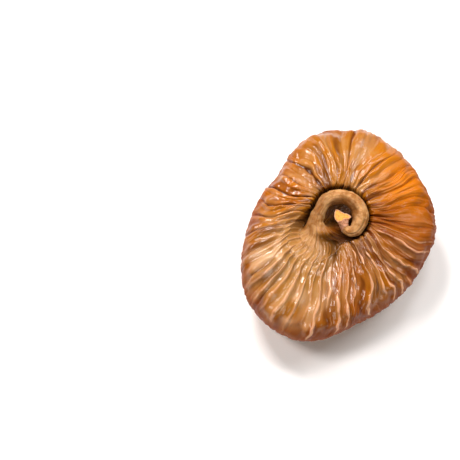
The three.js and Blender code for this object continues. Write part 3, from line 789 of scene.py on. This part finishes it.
def skin_material():
    s = Shader("fig_skin")
    top, neck, hollow, swollen_glow = s.mark("top"), s.mark("neck"), s.mark("hollow"), s.mark("swollen_glow")
    side, matt_shaded, crease_pit_shade = s.mark("side"), s.mark("matt_shaded"), s.mark("crease_pit_shade")

    # What varies over the whole skin: painted shade down in the creases, dark streaks, pale veins, and dry
    # patches on the tops of the folds.
    dry = s.math("MULTIPLY", s.ramp(top, 0.55, 1.0), s.ramp(s.noise(180, 3, 0.5), 0.42, 0.68))
    dry = s.less(dry, swollen_glow, share=0.7)
    base = s.mix(s.ramp(top, 0.2, 0.95), DARK_BROWN_AND_SHADE, AMBER)
    base = s.mix(s.ramp(s.mark("streak"), 0.48, 0.72, end=0.85), base, DARK_BROWN_AND_SHADE)
    base = s.mix(s.ramp(s.mark("vein"), 0.52, 0.78, end=0.6), base, TAN)
    # Painted shade in the creases of the wet sides, and a deeper amber on the tops of their folds.
    base = s.paint(base, s.mark("wet"), s.mix(s.ramp(top, 0.3, 1.0), DARK_BROWN_AND_SHADE, WET), share=0.55)
    # Painted shade in the pit of a crease on the right of the neck.
    base = s.paint(base, crease_pit_shade, DARK_BROWN_AND_SHADE, share=0.9)
    # A painted glow on the swollen side, where light shines through the thin skin.
    base = s.paint(base, swollen_glow, PAINTED_GLOW, share=0.8)
    base = s.paint(base, dry, TAN, share=0.6)

    # The sides and the matt side, darkened with painted shade, the pale tops of the ridges, the underside,
    # and the fan with painted shade in its furrows.
    base = s.paint(base, side, SIDE_SHADE, share=0.85)
    base = s.paint(base, matt_shaded, SIDE_SHADE, share=0.6)
    pale = s.math("MULTIPLY", s.ramp(s.mark("ridge"), 0.12, 0.55), s.ramp(s.noise(420), 0.25, 0.5))
    base = s.paint(base, pale, PINK, share=0.85)
    base = s.paint(base, s.mark("under"), UNDERSIDE, share=0.5)
    base = s.paint(base, s.mark("fan"), s.mix(s.ramp(top, 0.15, 0.7), FAN_FURROW_SHADE, FAN_TOP), share=0.7)
    # Pale frosted sugar with painted highlights on the fan's shoulders.
    base = s.paint(base, s.mark("bloom_highlight"), BLOOM_HIGHLIGHT, share=0.5)

    # The neck with painted shade on its curl, painted shade in the hollow round it and in the slit, the eye,
    # and flecks over all.
    neck_skin = s.mix(s.ramp(s.noise(700), 0.35, 0.65), NECK_DARK, NECK_LIGHT)
    neck_skin = s.paint(neck_skin, s.mark("shade"), NECK_SHADE, share=0.8)
    base = s.paint(base, neck, neck_skin, share=0.85)
    base = s.paint(base, s.math("MAXIMUM", hollow, s.mark("slit")), PAINTED_HOLLOW_SHADE, share=0.9)
    base = s.paint(base, s.mark("eye"), NECK_DARK, share=0.7)
    base = s.mix(s.ramp(s.noise(900, 5), 0.62, 0.8, end=0.35), base, TAN)

    # Sticky gloss on the folds, but hardly any on what is dry, deep or swollen.
    gloss = s.less(s.math("SUBTRACT", 1.0, neck), dry, share=0.45)
    for mark, share in ((side, 0.85), (swollen_glow, 0.7), (matt_shaded, 0.8), (hollow, 0.9), (crease_pit_shade, 0.8)):
        gloss = s.less(gloss, mark, share)
    rough_where_dry = {"Value": gloss, "To Min": 0.62, "To Max": 0.34}
    roughness = s.add("ShaderNodeMapRange", rough_where_dry).outputs["Result"]
    normal = s.bump(s.noise(1600, 5), strength=0.25, distance=0.2 * MM)
    normal = s.bump(s.noise(3800, 3, 0.5), strength=0.15, distance=0.1 * MM, normal=normal)
    return s.finish(
        Base_Color=base,
        Roughness=roughness,
        Normal=normal,
        IOR=1.46,
        Specular_IOR_Level=0.08,
        Subsurface_Weight=0.2,
        Subsurface_Radius=(1.0, 0.42, 0.1),
        Subsurface_Scale=0.9 * MM,
        Coat_Weight=gloss,
        Coat_Roughness=0.11,
        Coat_IOR=1.5,
        Coat_Normal=normal,
    )


def stalk_material():
    s = Shader("fig_stalk")
    fibres = s.noise(2600)
    base = s.mix(s.ramp(s.mark("pith"), 0.2, 0.7), BARK, PITH)
    base = s.mix(s.ramp(fibres, 0.42, 0.66, end=0.75), base, FIBRE)
    return s.finish(
        Base_Color=base,
        Roughness=0.75,
        Normal=s.bump(fibres, strength=0.5, distance=0.15 * MM),
        Subsurface_Weight=0.25,
        Subsurface_Radius=(1.0, 0.6, 0.25),
        Subsurface_Scale=MM,
    )


def make_floor():
    half = 1.5
    corners = [(-half, -half, 0), (half, -half, 0), (half, half, 0), (-half, half, 0)]
    mesh = bpy.data.meshes.new("floor")
    mesh.from_pydata(corners, [], [(0, 1, 2, 3)])
    floor = bpy.data.objects.new("floor", mesh)
    bpy.context.collection.objects.link(floor)
    floor.data.materials.append(Shader("floor").finish(Base_Color=FLOOR, Roughness=0.55))


# Soft square lights, all aimed at the fig: where each is, how wide, how many watts, and its tint. The windows
# make the wet highlights on the left.
LIGHTS = {
    "key": ((0.3, 0.45, 0.62), 0.34, 2.8, (1, 0.97, 0.95)),
    "overhead": ((-0.05, 0.3, 0.66), 0.18, 1.4, (1, 0.96, 0.96)),
    "upper window": ((-0.36, 0.28, 0.5), 0.2, 4.2, (1, 0.93, 0.9)),
    "lower window": ((-0.38, -0.12, 0.55), 0.17, 2.1, (1, 0.93, 0.9)),
    "fill": ((0.4, -0.5, 0.45), 0.3, 1.3, (1, 0.97, 0.86)),
}
LIT_PLACE = (0, 0, 0.01)
WORLD_STRENGTH = 0.12


def softbox(name, place, width, watts, tint):
    light = bpy.data.lights.new(name, "AREA")
    light.shape = "RECTANGLE"
    light.size, light.size_y = width, width
    light.energy = watts
    light.color = tint
    box = bpy.data.objects.new(name, light)
    box.location = place
    box.rotation_euler = (Vector(LIT_PLACE) - box.location).to_track_quat("-Z", "Y").to_euler()
    bpy.context.collection.objects.link(box)


def light_scene():
    world = bpy.data.worlds.new("studio")
    bpy.context.scene.world = world
    world.use_nodes = True
    background = world.node_tree.nodes["Background"]
    background.inputs["Color"].default_value = (1, 1, 1, 1)
    background.inputs["Strength"].default_value = WORLD_STRENGTH
    for name, settings in LIGHTS.items():
        softbox(name, *settings)
    bpy.context.scene.view_settings.view_transform = "Standard"


# The camera looks down on the face as the photograph does. Places in the picture are pixels of its 460 by
# 460 frame.
ELEVATION = math.radians(68)
ROLL = math.radians(20)
DISTANCE = 0.42
FRAME_PIXELS = 460
MM_PER_PIXEL = 0.213
FIG_AT = (338.5, 240.8)
FIG_MIDDLE = Vector((0, 0, 8 * MM))
SENSOR = 36.0
CLIP_START = 0.01


def make_camera():
    right = Vector((1, 0, 0))
    up = Vector((0, math.sin(ELEVATION), math.cos(ELEVATION)))
    toward = right.cross(up)
    rolled_right = math.cos(ROLL) * right + math.sin(ROLL) * up
    rolled_up = math.cos(ROLL) * up - math.sin(ROLL) * right
    pixel = MM_PER_PIXEL * MM
    aside = (FRAME_PIXELS / 2 - FIG_AT[0]) * pixel
    above = (FIG_AT[1] - FRAME_PIXELS / 2) * pixel
    location = FIG_MIDDLE + toward * DISTANCE
    centre = FIG_MIDDLE + rolled_right * aside + rolled_up * above
    backward = (location - centre).normalized()
    side = rolled_up.cross(backward).normalized()
    axes = Matrix((side, backward.cross(side), backward)).transposed()
    data = bpy.data.cameras.new("camera")
    data.sensor_width = SENSOR
    data.lens = SENSOR * (location - centre).length / (FRAME_PIXELS * pixel)
    data.clip_start = CLIP_START
    camera = bpy.data.objects.new("camera", data)
    camera.matrix_world = Matrix.Translation(location) @ axes.to_4x4()
    bpy.context.collection.objects.link(camera)
    bpy.context.scene.camera = camera


make_camera()

fruit = make_fruit()
fruit.data.materials.append(skin_material())
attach(fruit, "root")
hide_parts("fruit")

stalk = make_stalk()
stalk.data.materials.append(stalk_material())
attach(stalk, "root")
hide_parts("stalk")

make_floor()
light_scene()
